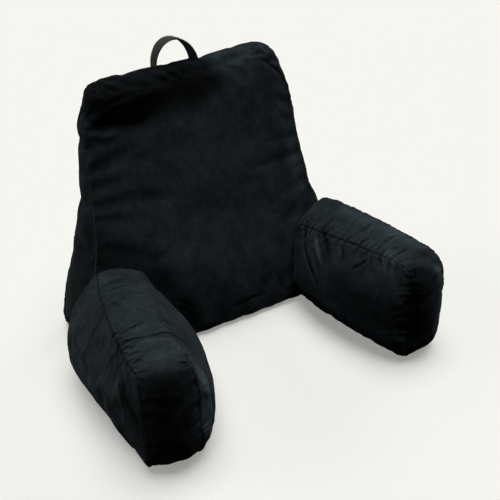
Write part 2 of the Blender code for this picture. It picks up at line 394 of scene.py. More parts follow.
@dataclass(frozen=True)
class Crease:
    """A fold along a short path, a trough where rise is negative."""

    name: str
    half_width: float
    rise: float
    path: tuple[tuple[float, ...], ...]

    def lift(self, points: Array, stops: Array) -> Array:
        """How far the fold moves each point out along its normal.

        Args:
            points: The cushion's points.
            stops: The places that its path runs through.

        Returns:
            One distance a point, in metres.
        """
        legs = np.linalg.norm(np.diff(stops, axis=0), axis=1)
        reached = np.concatenate([[0.0], np.cumsum(legs)]) / legs.sum()
        best = np.full(len(points), np.inf)
        run = np.zeros(len(points))
        for i, leg in enumerate(legs):
            along = (stops[i + 1] - stops[i]) / leg
            t = np.clip((points - stops[i]) @ along, 0, leg)
            away = np.linalg.norm(points - stops[i] - t[:, None] * along, axis=1)
            nearer = away < best
            best = np.where(nearer, away, best)
            run = np.where(nearer, reached[i] + (reached[i + 1] - reached[i]) * t / leg, run)
        thin = 0.45 + 0.55 * np.sin(math.pi * np.clip(run, 0.02, 0.98)) ** 0.7
        return self.rise * thin * fall(best, self.half_width * (0.5 + 0.5 * thin))


@dataclass(frozen=True)
class PaintedShadingPatch:
    """A part of a cushion painted darker or lighter than round it: painted shade where less light falls, a
    painted highlight where more falls.
    """

    name: str
    reach: float
    shade: float
    path: tuple[tuple[float, ...], ...]

    def tone(self, points: Array, stops: Array) -> Array:
        """What the patch's painted shade or highlight, along its stops, multiplies each point's colour by."""
        away = np.full(len(points), np.inf)
        for start, end in zip(stops, stops[1:]):
            along = end - start
            t = np.clip((points - start) @ along / (along @ along), 0, 1)
            away = np.minimum(away, np.linalg.norm(points - start - t[:, None] * along, axis=1))
        return 1 + (self.shade - 1) * fall(away, self.reach)


@dataclass(frozen=True)
class Tucks:
    """A run of small puckers along one seam."""

    line: int
    start: float
    stop: float
    count: int
    depth: float
    reach: float
    skew: float = 0.0
    width: float = 0.0020

    def lift(self, distance: Array, along: Array, line: Array, seed: int) -> Array:
        """How far the puckers move each point out along its normal.

        Args:
            distance: How far each point is from its nearest seam.
            along: How far along that seam it is.
            line: Which seam that is.
            seed: Tells one cushion's puckers from another's.

        Returns:
            One distance a point, in metres.
        """
        total = np.zeros(len(distance))
        mine = np.flatnonzero((line == self.line) & (distance < 3 * self.reach))
        d, s = distance[mine], along[mine]
        dice = np.random.default_rng(seed * 100 + self.line)
        places = np.linspace(self.start, self.stop, self.count)
        places += dice.uniform(-0.42, 0.42, self.count) * (self.stop - self.start) / self.count
        for place in places:
            depth = self.depth * dice.uniform(0.35, 1.15)
            reach = self.reach * dice.uniform(0.45, 1.3)
            width = self.width * dice.uniform(0.7, 1.5)
            skew = self.skew + dice.uniform(-0.45, 0.45)
            across = (s - place - skew * d) / (width * (1 + 0.6 * d / reach))
            shape = np.exp(-across**2) - 0.38 * np.exp(-((np.abs(across) - 1.7) ** 2))
            total[mine] -= depth * shape * np.exp(-((d / reach) ** 1.6))
        return total


@dataclass
class Cushion:
    """A filled velvet cushion."""

    name: str
    cells: tuple[int, int, int]
    halves: tuple[float, float, float]
    fill: float
    creases: tuple[Crease, ...]
    tucks: tuple[Tucks, ...]
    patches: tuple[PaintedShadingPatch, ...]
    seed: int
    crowding: tuple[float, float, float] = (0.38, 0.12, 0.34)
    pressure: float = 3.0
    growth: float = 0.05
    wrinkle_gain: float = 1.0
    wrinkle_cap: float = 0.009
    frames: int = 20
    seam_depth: float = 0.0011
    seam_width: float = 0.0016
    seam_roll: float = 0.0006
    # Seams painted with a highlight, as if their ridge catches light.
    highlight_lines: tuple[int, ...] = ()
    faint_lines: tuple[int, ...] = ()
    crease_gain: float = 1.0
    # Painted shade in the folds' troughs and painted highlight on their ridges, with its limits.
    fold_shade: float = 260.0
    fold_tones: tuple[float, float] = (0.30, 1.80)

    def place(self, u: Array, v: Array, w: Array) -> Array:
        """Where the lattice's points stand in the part's frame."""
        raise NotImplementedError

    def seams(self, lie: Array) -> tuple[Array, Array, Array]:
        """Each point's distance to its nearest seam, how far along it is, and which seam."""
        raise NotImplementedError

    def turns(self, lie: Array) -> Array:
        """How much each point is smoothed, 0 to 1, where the cloth turns without a seam."""
        return np.zeros(len(lie))

    @staticmethod
    def nearest(choices: tuple[tuple[Array, Array], ...]) -> tuple[Array, Array, Array]:
        """Pick each point's nearest seam.

        Args:
            choices: For each seam, every point's distance from it and place along it.

        Returns:
            The distance, the place along the seam, and the seam's number.
        """
        distances = np.stack([choice[0] for choice in choices])
        alongs = np.stack([choice[1] for choice in choices])
        line = distances.argmin(axis=0)
        pick = np.arange(distances.shape[1])
        return distances[line, pick], alongs[line, pick], line

    def lattice(self) -> bpy.types.Object:
        """Lay out the cushion's panels.

        Returns:
            The cushion as a closed mesh, each point knowing its (u, v, w).
        """
        bm = bmesh.new()
        bmesh.ops.create_cube(bm, size=2)
        for axis, count in enumerate(self.cells):
            run = [e for e in bm.edges if abs(e.verts[0].co[axis] - e.verts[1].co[axis]) > 1]
            bmesh.ops.subdivide_edges(bm, edges=run, cuts=count - 1, use_grid_fill=True)
        lie = bm.verts.layers.float_vector.new("lie")
        for vertex in bm.verts:
            vertex[lie] = Vector([crowd(c, share) for c, share in zip(vertex.co, self.crowding)])
        uvw = np.array([vertex[lie] for vertex in bm.verts])
        for vertex, spot in zip(bm.verts, self.place(uvw[:, 0], uvw[:, 1], uvw[:, 2])):
            vertex.co = spot
        bmesh.ops.recalc_face_normals(bm, faces=bm.faces)
        mesh = bpy.data.meshes.new(self.name + "_velvet")
        bm.to_mesh(mesh)
        bm.free()
        mesh.shade_smooth()
        return link(bpy.data.objects.new(self.name + "_velvet", mesh))

    def wrinkle(self, item: bpy.types.Object) -> None:
        """Blow the cushion up as cloth with its seams held, and keep the wrinkles.

        Args:
            item: The cushion, changed in place.
        """
        mesh = item.data
        before = points_of(mesh)
        held = np.flatnonzero((np.abs(lie_of(mesh)) > ON_FACE).sum(axis=1) > 1)
        group = item.vertex_groups.new(name="held")
        group.add(held.tolist(), 1.0, "REPLACE")
        cloth = item.modifiers.new("cloth", "CLOTH")
        settings = cloth.settings
        settings.quality = 6
        settings.mass = 0.3
        settings.tension_stiffness = 18
        settings.compression_stiffness = 18
        settings.shear_stiffness = 6
        settings.bending_stiffness = 0.25
        settings.vertex_group_mass = "held"
        settings.use_pressure = True
        settings.uniform_pressure_force = self.pressure
        settings.shrink_min = -self.growth
        settings.effector_weights.gravity = 0
        cloth.collision_settings.use_collision = False
        cloth.point_cache.frame_end = self.frames
        for step in range(1, self.frames + 1):
            bpy.context.scene.frame_set(step)
        shown = item.evaluated_get(bpy.context.evaluated_depsgraph_get())
        moved = points_of(shown.data) - before
        item.modifiers.remove(cloth)
        bpy.context.scene.frame_set(1)
        item.vertex_groups.remove(group)
        slow = self.smoothed(mesh, moved, held, 30)
        quick = self.smoothed(mesh, moved, held, 1) - slow
        size = np.linalg.norm(quick, axis=1, keepdims=True)
        cap = self.wrinkle_cap
        quick *= self.wrinkle_gain * cap * np.tanh(size / cap) / np.maximum(size, 1e-9)
        LOG.info("%s wrinkles up to %.1f mm, swell %.1f mm", self.name, 1000 * size.max(),
                 1000 * np.linalg.norm(slow, axis=1).max())
        move_points(mesh, before + quick)

    @staticmethod
    def smoothed(mesh: bpy.types.Mesh, moves: Array, held: Array, rounds: int) -> Array:
        """Even out a move over a mesh, with the seams' points held.

        Args:
            mesh: The mesh that the move belongs to.
            moves: One move a point.
            held: Which points don't move.
            rounds: How often each point takes the mean of its neighbours.

        Returns:
            The evened-out moves.
        """
        ends = np.empty(len(mesh.edges) * 2, np.int64)
        mesh.edges.foreach_get("vertices", ends)
        a, b = ends.reshape(-1, 2).T
        count = np.bincount(ends, minlength=len(moves))[:, None]
        out = moves.copy()
        for _ in range(rounds):
            total = np.zeros_like(out)
            np.add.at(total, a, out[b])
            np.add.at(total, b, out[a])
            out = 0.5 * out + 0.5 * total / count
            out[held] = 0
        return out

    def refine(self, item: bpy.types.Object) -> None:
        """Subdivide the cushion once and keep the finer mesh."""
        finer = item.modifiers.new("finer", "SUBSURF")
        finer.levels = finer.render_levels = 1
        shown = item.evaluated_get(bpy.context.evaluated_depsgraph_get())
        mesh = bpy.data.meshes.new_from_object(shown)
        item.modifiers.remove(finer)
        old = item.data
        item.data = mesh
        bpy.data.meshes.remove(old)
        mesh.name = self.name + "_velvet"

    def soften(self, item: bpy.types.Object, rounds: int = 90) -> None:
        """Round the cushion off where its cloth turns without a seam.

        Args:
            item: The cushion, changed in place.
            rounds: How often its points move towards their neighbours.
        """
        mesh = item.data
        share = 0.5 * self.turns(lie_of(mesh))[:, None]
        ends = np.empty(len(mesh.edges) * 2, np.int64)
        mesh.edges.foreach_get("vertices", ends)
        a, b = ends.reshape(-1, 2).T
        points = points_of(mesh)
        count = np.bincount(ends, minlength=len(points))[:, None]
        for _ in range(rounds):
            total = np.zeros_like(points)
            np.add.at(total, a, points[b])
            np.add.at(total, b, points[a])
            points += share * (total / count - points)
        move_points(mesh, points)

    def detail(self, item: bpy.types.Object) -> None:
        """Crease the panels, gather them along their seams, and draw the seams in.

        Args:
            item: The cushion, changed in place.
        """
        mesh = item.data
        points, normals = points_of(mesh), normals_of(mesh)
        distance, along, line = self.seams(lie_of(mesh))
        tree = BVHTree.FromObject(item, bpy.context.evaluated_depsgraph_get())
        folded = np.zeros(len(points))
        for crease in self.creases:
            stops = VIEW.places(tree, crease.path)
            if len(stops) < 2:
                LOG.warning("%s: %s isn't on the cushion", self.name, crease.name)
                continue
            folded += self.crease_gain * crease.lift(points, stops)
        for run in self.tucks:
            folded += run.lift(distance, along, line, self.seed)
        lift = folded + 0.0006 * cloud(points, 0.055, self.seed)
        lift += 0.0003 * cloud(points, 0.021, self.seed)
        lift -= self.seam_depth * np.exp(-((distance / self.seam_width) ** 2))
        lift += self.seam_roll * np.exp(-(((distance - 0.0045) / 0.0025) ** 2))
        points += normals * lift[:, None]
        points[:, 2] = np.maximum(points[:, 2], 0.0)
        move_points(mesh, points)
        self.mark_seams(mesh, distance, line)
        self.paint_shading(mesh, points, folded, tree)

    def mark_seams(self, mesh: bpy.types.Mesh, distance: Array, line: Array) -> None:
        """Note for the velvet where the seams lie: a dark line along most, and a painted highlight along the
        highlight lines.

        Args:
            mesh: The cushion's mesh.
            distance: How far each point is from its nearest seam.
            line: Which seam that is.
        """
        light = np.isin(line, self.highlight_lines)
        close = np.exp(-((distance / 0.0009) ** 2))
        add_number(mesh, "seam_highlight", np.where(light, 0.5 * close, 0.0))
        share = np.where(np.isin(line, self.faint_lines), 0.25, 0.85)
        add_number(mesh, "seam_dark", np.where(light, 0.0, share * close))

    def paint_shading(self, mesh: bpy.types.Mesh, points: Array, folded: Array, tree: BVHTree) -> None:
        """Note for the velvet its painted shade and highlights, from the folds and the patches, with tone that
        differs at random.

        Args:
            mesh: The cushion's mesh.
            points: The cushion's points.
            folded: How far the folds moved each of them.
            tree: The cushion's surface before its folds.
        """
        # Painted shade in the folds' troughs, painted highlight on their ridges.
        tone = np.clip(1 + self.fold_shade * folded, *self.fold_tones)
        # Patches of painted shade and painted highlight.
        for patch in self.patches:
            stops = VIEW.places(tree, patch.path)
            if len(stops) < 2:
                LOG.warning("%s: %s isn't on the cushion", self.name, patch.name)
                continue
            tone *= patch.tone(points, stops)
        tone *= 1 + 0.26 * cloud(points, 0.034, self.seed + 5) + 0.16 * cloud(points, 0.011, self.seed + 9)
        streaks = cloud(points * np.array([1.0, 1.0, 0.35]), 0.006, self.seed + 13)
        tone *= 1 + 0.26 * np.clip(streaks, -0.5, 0.6)
        add_number(mesh, "painted_shade_and_tone", tone)

    def build(self, finish: bpy.types.Material) -> bpy.types.Object:
        """Make the whole cushion.

        Args:
            finish: The velvet.
        """
        item = self.lattice()
        self.soften(item)
        self.wrinkle(item)
        self.refine(item)
        self.detail(item)
        item.data.materials.append(finish)
        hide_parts(self.name)
        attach(item, "root")
        LOG.info("%s: %d points", self.name, len(item.data.vertices))
        return item


@dataclass(frozen=True)
class Underside:
    """How a cushion's flat underside rests: seams off the floor, filling sagging past them."""

    seam_lift: float
    sag: float = 0.034

    def rest(self, u: Array, v: Array, w: Array, z: Array) -> Array:
        """The height of each point above the floor.

        Args:
            u: Places across the cushion.
            v: Places front to back.
            w: Places up.
            z: The heights before it rests.

        Returns:
            The heights after it rests.
        """
        low = (1 - w) / 2
        lifted = z + self.seam_lift * low**3 - self.sag * fade(u, 1) * fade(v, 1) * low**6
        return np.maximum(0.0, lifted)


@dataclass(frozen=True)
class BackLevel:
    """The back cushion's cut at one height."""

    height: float
    front_half: float
    rear_half: float
    front_y: float
    rear_y: float


@dataclass(frozen=True)
class PanelFold:
    """A fold of the front panel, from one (x, z) to another."""

    start: tuple[float, float]
    end: tuple[float, float]
    half_width: float
    rise: float

    def push(self, x: Array, z: Array) -> Array:
        """How far the fold pushes the front panel forwards at each point."""
        start, along = np.array(self.start), np.array(self.end) - np.array(self.start)
        here = np.stack([x, z], axis=1)
        t = np.clip((here - start) @ along / (along @ along), 0, 1)
        return self.rise * fall(np.linalg.norm(here - start - t[:, None] * along, axis=1), self.half_width)


@dataclass
class BackCushion(Cushion):
    """The wedge-shaped back: u runs left to right, v front to rear, w up."""

    levels: tuple[BackLevel, ...] = (
        BackLevel(0.000, 0.301, 0.336, 0.002, 0.225),
        BackLevel(0.100, 0.300, 0.308, 0.029, 0.227),
        BackLevel(0.190, 0.287, 0.275, 0.053, 0.227),
        BackLevel(0.245, 0.268, 0.257, 0.068, 0.227),
        BackLevel(0.335, 0.254, 0.231, 0.093, 0.226),
        BackLevel(0.445, 0.242, 0.216, 0.121, 0.222),
        BackLevel(0.510, 0.238, 0.211, 0.137, 0.219),
        BackLevel(0.558, 0.225, 0.202, 0.149, 0.222),
    )
    folds: tuple[PanelFold, ...] = (
        PanelFold((-0.250, 0.500), (-0.115, 0.482), 0.026, -0.007),
        PanelFold((0.200, 0.565), (0.150, 0.535), 0.024, -0.006),
        PanelFold((0.090, 0.055), (0.190, 0.080), 0.026, -0.005),
    )
    full_height: float = 0.558
    front_crown: float = 0.032
    rear_crown: float = 0.028
    top_crown: float = 0.013
    side_crown: float = 0.0148
    corner_pull_in: float = 0.050
    corner_pull_down: float = 0.036
    rear_corner_pull: float = 0.012
    base_pull_in: float = 0.030
    corner_skew: float = 0.022
    left_rise: float = 0.004
    right_rise: float = 0.027
    notch_height: float = 0.506
    notch_half_width: float = 0.022
    notch_depth: float = 0.004
    roll_heights: tuple[float, float] = (0.482, 0.560)
    roll_places: tuple[float, float] = (-0.130, 0.070)
    roll_slope: float = 0.40
    roll_start: float = 0.012
    top_radius: float = 0.030
    top_rear_drop: float = 0.016
    top_seam: float = 0.62
    underside: Underside = Underside(0.010)

    def column(self, name: str, at: Array) -> Array:
        """Read one of the levels' columns at any height."""
        heights = np.array([level.height for level in self.levels])
        return curve_through(heights, np.array([getattr(level, name) for level in self.levels]), at)

    def place(self, u: Array, v: Array, w: Array) -> Array:
        """Where the lattice's points stand in the part's frame."""
        high, deep, side = np.clip(w, 0, None), (v + 1) / 2, np.abs(u)
        up = np.where(w > 0, w * (1 - self.corner_pull_down * side**5), w)
        height = self.full_height * (up + 1) / 2
        front_half, rear_half = self.column("front_half", height), self.column("rear_half", height)
        half = front_half + (rear_half - front_half) * deep
        half += self.side_crown * fade(v, 0.8) * fade(w, 0.4) * side**3
        notch = self.notch_depth * fall(np.abs(height - self.notch_height), self.notch_half_width)
        half -= np.where(u < 0, notch * u * u, 0)
        pull = self.corner_pull_in * high**8 + self.base_pull_in * np.clip(-w, 0, None) ** 8 * deep
        x = u * (1 - pull) * half + self.corner_skew * deep * high**4 * np.clip(u, 0, None)
        crown = fade(u, 0.8) * fade(w, 0.7)
        folds = sum(fold.push(x, height) for fold in self.folds) * fade(u, 0.25) * fade(w, 0.25)
        folds += self.shoulder(x, height) * fade(u, 0.18)
        front = self.column("front_y", height) - self.front_crown * crown - folds
        rear = self.column("rear_y", height) + self.rear_crown * crown - self.rear_corner_pull * side**8
        y = front + (rear - front) * deep - UNDERSIDE_MIDDLE
        z = height + self.top_crown * fade(u, 0.35) * fade(v, 0.7) * high**3
        z += np.where(u < 0, self.left_rise, self.right_rise) * side**2 * high**4
        z -= self.top_rear_drop * deep**3 * high**6 * fade(u, 0.5)
        back, rise = self.round_over(self.full_height - height, y + UNDERSIDE_MIDDLE - front)
        y, z = y + back, z + rise
        return np.stack([x, y, self.underside.rest(u, v, w, z)], axis=1)

    def shoulder(self, x: Array, z: Array) -> Array:
        """How far the roll of filling under the top edge stands forwards."""
        t = (x - self.roll_places[0]) / (self.roll_places[1] - self.roll_places[0])
        edge = self.roll_heights[0] + (self.roll_heights[1] - self.roll_heights[0]) * ease(t) ** 0.8
        above = np.clip(z - edge, 0, None)
        return self.roll_slope * above**2 / (above + self.roll_start)

    def round_over(self, down: Array, behind: Array) -> tuple[Array, Array]:
        """Turn the front panel over the top in a round, without an edge.

        Args:
            down: How far each point is below the top.
            behind: How far each is behind the front panel.

        Returns:
            How far each point moves back and up.
        """
        r = self.top_radius
        low, deep = np.clip(1 - down / r, 0, 1), np.clip(1 - behind / r, 0, 1)
        low_turn, deep_turn = low * math.pi / 4, deep * math.pi / 4
        corner = (1 - math.cos(math.pi / 4)) * low * deep
        back = (1 - np.cos(low_turn)) * deep + (deep - np.sin(deep_turn)) * low - corner
        up = (np.sin(low_turn) - low) * deep - (1 - np.cos(deep_turn)) * low + corner
        return r * back, r * up

    def seams(self, lie: Array) -> tuple[Array, Array, Array]:
        """Each point's distance to its nearest seam, how far along it is, and which seam.

        The front panel's seam leaves the side's edge under the top corner and runs back over
        the top: 0 front sides, 1 front top, 2 rear sides, 3 rear top, 4 base.
        """
        u, v, w = lie.T
        hx, hy, hz = self.halves
        side, front, rear = np.abs(u) > ON_FACE, v < -ON_FACE, v > ON_FACE
        top, base = w > ON_FACE, w < -ON_FACE
        far = np.full(len(u), np.inf)
        leaving = ease((w - 0.80) / 0.20)
        front_line = -1 + (1 + self.top_seam) * leaving
        at_edge = np.where(front & (w < 0.86), (1 - np.abs(u)) * hx + 0.03 * ease((w - 0.80) / 0.06), far)
        at_edge = np.where(side, np.abs(v - front_line) * hy, at_edge)
        to_base = np.where(front | rear | side, (1 + w) * hz, far)
        to_base = np.where(base, np.minimum((1 - np.abs(v)) * hy, (1 - np.abs(u)) * hx), to_base)
        return self.nearest((
            (at_edge, w * hz),
            (np.where(top, np.abs(v - self.top_seam) * hy, far), u * hx),
            (np.where(rear, (1 - np.abs(u)) * hx, np.where(side, (1 - v) * hy, far)), w * hz),
            (np.where(rear, (1 - w) * hz, np.where(top, (1 - v) * hy, far)), u * hx),
            (to_base, np.where(side, v * hy, u * hx)),
        ))

    def turns(self, lie: Array) -> Array:
        """The two top corners, where the front panel and the gusset turn without a seam."""
        u, v, w = lie.T
        corner = ease((np.abs(u) - 0.84) / 0.12) * ease((w - 0.74) / 0.16)
        return corner * (0.5 + 0.5 * ease((0.75 - v) / 0.3))


@dataclass
class ArmCushion(Cushion):
    """A padded arm: u runs outwards, v from rear to front, w up."""

    side: Side = Side.LEFT
    rear_x: float = 0.232
    splay: float = 9.2
    length: float = 0.374
    front_height: float = 0.231
    rear_tilt: float = 0.009
    front_tilt: float = 0.005
    base_pull_back: float = 0.115
    inner_belly: float = 0.075
    inner_lean: float = 0.20
    outer_lean: float = 0.78
    base_shift: float = 0.0
    strip_width: float = 0.095
    rear_y: float = 0.046
    bow: float = 0.011
    rear_pinch: float = 0.12
    rear_draw: float = 0.45
    outer_belly: float = 0.054
    outer_rear_fade: float = 0.12
    outer_front_fade: float = 0.24
    rear_height: float = 0.210
    belly_drop: float = 0.35
    top_crown: float = 0.011
    front_crown: float = 0.022
    corner_pull_back: float = 0.115
    corner_pull_down: float = 0.030
    rear_round: float = 0.8
    underside: Underside = Underside(0.009)

    def place(self, u: Array, v: Array, w: Array) -> Array:
        """Where the lattice's points stand in the part's frame."""
        turn = math.radians(self.splay)
        forth, out = np.array([math.sin(turn), -math.cos(turn)]), np.array([math.cos(turn), math.sin(turn)])
        front, back = np.clip(v, 0, None), np.clip(-v, 0, None)
        corner = np.where(w > 0, self.corner_pull_back, self.base_pull_back)
        t = (v * (1 - np.where(v > 0, corner * np.abs(w) ** 6, 0)) + 1) / 2
        up = (w * (1 - self.corner_pull_down * front**6) + 1) / 2
        belly = np.where(u > 0, self.outer_belly, self.inner_belly)
        lean = np.where(u > 0, self.outer_lean, self.inner_lean)
        draw = np.where(u < 0, self.rear_draw * back**2, 0)
        rear_fade = fade(back, np.where(u > 0, self.outer_rear_fade, 0.30))
        front_power = np.where(u > 0, self.outer_front_fade, 0.50)
        swell = belly * fade(w, 0.65) * (1 - self.belly_drop * w) * fade(front, front_power) * rear_fade
        swell *= (1 - draw) * (1 - lean * v)
        half = self.strip_width / 2 * (1 - self.rear_pinch * back**4)
        sideways = u * half + u * np.abs(u) * swell
        sideways += self.bow * 4 * t * (1 - t) + self.base_shift * t * (1 - up)
        ahead = self.length * t + self.front_crown * fade(u, 0.7) * fade(w, 0.7) * front**4
        height = self.rear_height + (self.front_height - self.rear_height) * t
        height += (self.rear_tilt + (self.front_tilt - self.rear_tilt) * t) * u
        z = height * up + self.top_crown * fade(u, 0.7) * fade(front, 0.6) * up**4
        spot = np.array([self.rear_x, self.rear_y]) + ahead[:, None] * forth + sideways[:, None] * out
        x, y = self.side.value * spot[:, 0], spot[:, 1] - UNDERSIDE_MIDDLE
        return np.stack([x, y, self.underside.rest(u, v, w, z)], axis=1)

    def seams(self, lie: Array) -> tuple[Array, Array, Array]:
        """Each point's distance to its nearest seam, how far along it is, and which seam.

        The lines are 0 outer top, 1 inner top, 2 outer front, 3 inner front, 4 outer base,
        5 inner base.
        """
        u, v, w = lie.T
        hx, hy, hz = self.halves
        panel, front = np.abs(u) > ON_FACE, v > ON_FACE
        over, under = w > ON_FACE, w < -ON_FACE
        across = (1 - np.abs(u)) * hx
        choices = []
        for part, on_strip, on_panel, along in (
            ("top", over, (1 - w) * hz, v * hy),
            ("front", front & ~over & ~under, (1 - v) * hy, w * hz),
            ("base", under, (1 + w) * hz, v * hy),
        ):
            for outward in (True, False):
                mine = (u > 0) == outward
                distance = np.where(panel & mine, on_panel, np.where(on_strip & mine, across, np.inf))
                choices.append((distance, along))
        return self.nearest(tuple(choices))

    def turns(self, lie: Array) -> Array:
        """Where the strip turns over the front end, and round the rear end."""
        u, v, w = lie.T
        strip = ease((0.97 - np.abs(u)) / 0.05)
        over_front = ease((v - 0.90) / 0.07) * ease((np.abs(w) - 0.80) / 0.12) * strip
        corners = ease((v - 0.88) / 0.08) * ease((np.abs(w) - 0.84) / 0.10)
        rear = self.rear_round * ease((-0.90 - v) / 0.08)
        return np.maximum(np.maximum(0.45 * over_front, 0.35 * corners), rear)

    def lean_on(self, item: bpy.types.Object, back: bpy.types.Object) -> None:
        """Press the arm's rear end against the back cushion without running into it.

        Args:
            item: The arm, changed in place.
            back: The finished back cushion.
        """
        tree = BVHTree.FromObject(back, bpy.context.evaluated_depsgraph_get())
        points = points_of(item.data)
        for i, point in enumerate(points):
            if point[1] < -UNDERSIDE_MIDDLE - REAR_END_REACH:
                continue
            spot, normal, _, _ = tree.find_nearest(Vector(point))
            depth = (Vector(point) - spot).dot(normal)
            if depth < PIECE_GAP:
                points[i] = spot + normal * PIECE_GAP
        points[:, 2] = np.maximum(points[:, 2], 0.0)
        move_points(item.data, points)


# Handle


@dataclass
class CarryHandle:
    """A flat strap of folded velvet in an arch, stitched along both edges."""

    width: float = 0.030
    thickness: float = 0.003
    span: float = 0.097
    rise: float = 0.0625
    middle_x: float = -0.007
    middle_y: float = 0.190
    foot_height: float = 0.558
    start_turn: float = math.radians(-6)
    twist: float = math.radians(26)
    lean: float = 0.004
    overrun: float = math.radians(20)
    steps: int = 96
    across: int = 12
    stitch_inset: float = 0.0035
    stitch_length: float = 0.0030
    stitch_radius: float = 0.00035

    def spot(self, run: float, side: float, out: float = 0.0) -> Vector:
        """A point of the strap.

        Args:
            run: How far along the strap, 0 to 1.
            side: How far across it from its middle line, in metres.
            out: How far off its middle surface, in metres.

        Returns:
            The point in the part's frame.
        """
        reach = math.pi + 2 * self.overrun
        angle = math.pi + self.overrun - reach * run
        x, z = math.cos(angle), math.sin(angle)
        turn = self.start_turn + self.twist * run
        outward = Vector((x / self.span * 2, 0, z / self.rise)).normalized()
        cupped = out - 0.0007 * (2 * side / self.width) ** 2
        over_x = self.middle_x + self.span / 2 * x - self.lean * max(z, 0)
        return Vector((
            over_x - math.sin(turn) * side + outward.x * cupped,
            self.middle_y - UNDERSIDE_MIDDLE + math.cos(turn) * side,
            self.foot_height + self.rise * z + outward.z * cupped,
        ))

    def strap(self, finish: bpy.types.Material) -> bpy.types.Object:
        """Build the strap.

        Args:
            finish: The strap's velvet.

        Returns:
            The strap.
        """
        bm = bmesh.new()
        bmesh.ops.create_grid(bm, x_segments=self.steps, y_segments=self.across, size=1)
        for vertex in bm.verts:
            run, side = (vertex.co.x + 1) / 2, vertex.co.y * self.width / 2
            swell = 0.0004 * noise.noise(Vector((run * 14, side * 90, 3.0)))
            vertex.co = self.spot(run, side, swell)
        bmesh.ops.recalc_face_normals(bm, faces=bm.faces)
        bmesh.ops.solidify(bm, geom=bm.faces[:], thickness=self.thickness)
        bmesh.ops.recalc_face_normals(bm, faces=bm.faces)
        rim = [e for e in bm.edges if e.calc_face_angle(0) > 1.0]
        bmesh.ops.bevel(
            bm, geom=rim, offset=self.thickness * 0.42, offset_type="OFFSET", segments=3,
            profile=0.5, affect="EDGES", material=-1,
        )
        mesh = bpy.data.meshes.new("carry_handle_strap")
        bm.to_mesh(mesh)
        bm.free()
        mesh.shade_smooth()
        item = link(bpy.data.objects.new("carry_handle_strap", mesh))
        # The strap carries no painted shade: its attribute is all ones.
        add_number(mesh, "painted_shade_and_tone", np.ones(len(mesh.vertices)))
        mesh.materials.append(finish)
        return item

    def stitching(self, finish: bpy.types.Material) -> bpy.types.Object:
        """Build both rows of stitches on the strap's outer face.

        Args:
            finish: The thread.

        Returns:
            All stitches as one piece.
        """
        bm = bmesh.new()
        around = math.pi * (self.span + 2 * self.rise) / 4 * (1 + 2 * self.overrun / math.pi)
        count = int(around / (self.stitch_length * 1.35))
        for side in (-1, 1):
            across = side * (self.width / 2 - self.stitch_inset)
            for face in (-1, 1):
                for number in range(count):
                    run = (number + 0.5) / count
                    off = face * self.thickness / 2
                    here = self.spot(run, across, off)
                    ahead = self.spot(run + 0.004, across, off) - here
                    turned = ahead.to_track_quat("X", "Z").to_matrix().to_4x4()
                    shape = Matrix.Diagonal((self.stitch_length / 2, self.stitch_radius, self.stitch_radius, 1))
                    bmesh.ops.create_icosphere(
                        bm, subdivisions=1, radius=1, matrix=Matrix.Translation(here) @ turned @ shape
                    )
        mesh = bpy.data.meshes.new("carry_handle_stitches")
        bm.to_mesh(mesh)
        bm.free()
        mesh.shade_smooth()
        mesh.materials.append(finish)
        return link(bpy.data.objects.new("carry_handle_stitches", mesh))

    def build(self, velvet: bpy.types.Material, thread: bpy.types.Material) -> None:
        """Make the strap and its stitches.

        Args:
            velvet: The strap's cloth.
            thread: The stitches' thread.
        """
        strap = self.strap(velvet)
        stitches = self.stitching(thread)
        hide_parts("carry_handle")
        for item in (strap, stitches):
            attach(item, "root")
        LOG.info("carry handle: %d points of strap", len(strap.data.vertices))


# Studio


@dataclass(frozen=True)
class Lamp:
    """A broad soft light, from a direction, as even as daylight."""

    name: str
    source: tuple[float, float, float]
    strength: float
    softness: float

    def hang(self) -> None:
        """Put the light in the scene."""
        light = bpy.data.lights.new(self.name, "SUN")
        light.energy = self.strength
        light.angle = self.softness
        lamp = link(bpy.data.objects.new(self.name, light))
        lamp.rotation_euler = Vector(self.source).to_track_quat("Z", "Y").to_euler()


